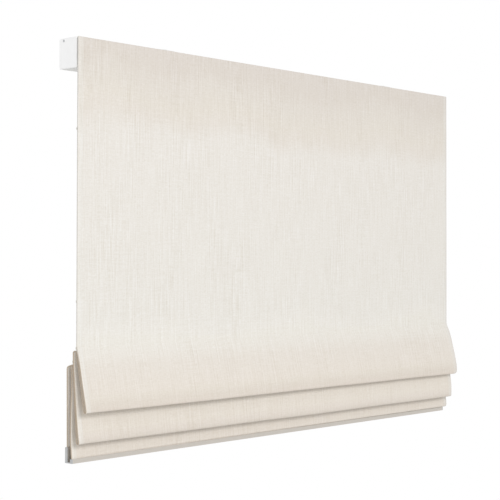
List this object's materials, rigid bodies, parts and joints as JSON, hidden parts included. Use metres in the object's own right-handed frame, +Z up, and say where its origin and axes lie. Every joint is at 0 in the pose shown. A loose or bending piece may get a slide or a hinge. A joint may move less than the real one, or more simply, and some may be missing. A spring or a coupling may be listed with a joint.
{
  "type": "roman blind",
  "caption": "Part-raised roman blind: flat linen-look cloth over cascading folds, with a white headrail, cord drums on a lift shaft, rods with rings and a bottom rail.",
  "frame": {"origin": "middle of the four bracket screw holes, on the wall plane", "axes": "+X to the right along the width seen from the room, +Y into the wall, +Z up"},
  "size_m": [1.0032, 0.0686, 0.6532],
  "materials": {
    "rail_white": "white powder coat, satin",
    "cap_white": "moulded white plastic, fine satin",
    "touch_tape": "woven off-white touch tape with short hooks or loops",
    "zinc_steel": "bright zinc plate",
    "spring_steel": "blue-grey rolled spring strip",
    "mechanism_white": "natural white acetal",
    "mechanism_grey": "light grey moulded plastic",
    "bracket_white": "white powder-coated steel strip",
    "linen": "off-white linen-look weave with vertical slubs",
    "lining": "plain close weave in ivory",
    "rod_fibre": "drawn white fibreglass rod",
    "ring_clear": "moulded white plastic",
    "bottom_aluminium": "light grey satin anodised"
  },
  "bodies": {
    "headrail": {"headrail_channel": "rail_white", "end_cap_left": "cap_white", "end_cap_right": "cap_white", "end_cap_screws": "zinc_steel", "hook_tape": "touch_tape", "loop_tape": "touch_tape", "shaft_bearing_left": "mechanism_grey", "shaft_bearing_right": "mechanism_grey", "spring_case": "mechanism_grey", "spring_cover": "mechanism_white", "spiral_spring": "spring_steel", "brake_block": "mechanism_grey", "brake_screw": "zinc_steel", "wall_bracket_left": "bracket_white", "wall_bracket_right": "bracket_white", "fabric_panel": "linen", "drum_cradle_1": "mechanism_grey", "drum_cradle_2": "mechanism_grey", "drum_cradle_3": "mechanism_grey", "cord_outlet_1": "mechanism_white", "cord_outlet_2": "mechanism_white", "cord_outlet_3": "mechanism_white"},
    "lift_shaft": {"lift_shaft": "zinc_steel", "spring_arbor": "mechanism_white", "cord_drum_1": "mechanism_white", "cord_drum_2": "mechanism_white", "cord_drum_3": "mechanism_white"},
    "left_lever": {"bracket_lever_left": "mechanism_white"},
    "right_lever": {"bracket_lever_right": "mechanism_white"},
    "upper_rod": {"rod_1": "rod_fibre", "rod_pocket_1": "lining", "rod_tips_1": "mechanism_white", "cord_rings_1": "ring_clear"},
    "lower_rod": {"rod_2": "rod_fibre", "rod_pocket_2": "lining", "rod_tips_2": "mechanism_white", "cord_rings_2": "ring_clear"},
    "fold_stack": {"fabric_folds": "linen", "bottom_rail": "bottom_aluminium", "bottom_rail_cap_left": "mechanism_grey", "bottom_rail_cap_right": "mechanism_grey", "cord_anchors": "ring_clear", "rod_3": "rod_fibre", "rod_pocket_3": "lining", "rod_tips_3": "mechanism_white", "cord_rings_3": "ring_clear", "rod_4": "rod_fibre", "rod_pocket_4": "lining", "rod_tips_4": "mechanism_white", "cord_rings_4": "ring_clear"}
  },
  "joints": [
    {"name": "stack_lift", "type": "slide", "parent": "headrail", "child": "fold_stack", "axis": [0, 0, 1], "range_m": [0, 0.385], "deforming": ["fabric_panel"]},
    {"name": "lower_rod_lift", "type": "slide", "parent": "headrail", "child": "lower_rod", "axis": [0, 0, 1], "range_m": [0, 0.33]},
    {"name": "upper_rod_lift", "type": "slide", "parent": "headrail", "child": "upper_rod", "axis": [0, 0, 1], "range_m": [0, 0.085]},
    {"name": "shaft_turn", "type": "hinge", "parent": "headrail", "child": "lift_shaft", "pos_m": [0, -0.0227, -0.0035], "axis": [-1, 0, 0], "range_deg": [0, 2210], "deforming": ["spiral_spring"]},
    {"name": "left_lever_turn", "type": "hinge", "parent": "headrail", "child": "left_lever", "pos_m": [-0.3, -0.0277, 0.02], "axis": [0, 0, 1], "range_deg": [0, 90]},
    {"name": "right_lever_turn", "type": "hinge", "parent": "headrail", "child": "right_lever", "pos_m": [0.3, -0.0277, 0.02], "axis": [0, 0, 1], "range_deg": [0, 90]}
  ],
  "couplings": [
    {"joint": "lower_rod_lift", "follows": "stack_lift", "ratio": 0.844},
    {"joint": "upper_rod_lift", "follows": "stack_lift", "ratio": 0.208},
    {"joint": "shaft_turn", "follows": "stack_lift", "rad_per_m": 100}
  ]
}
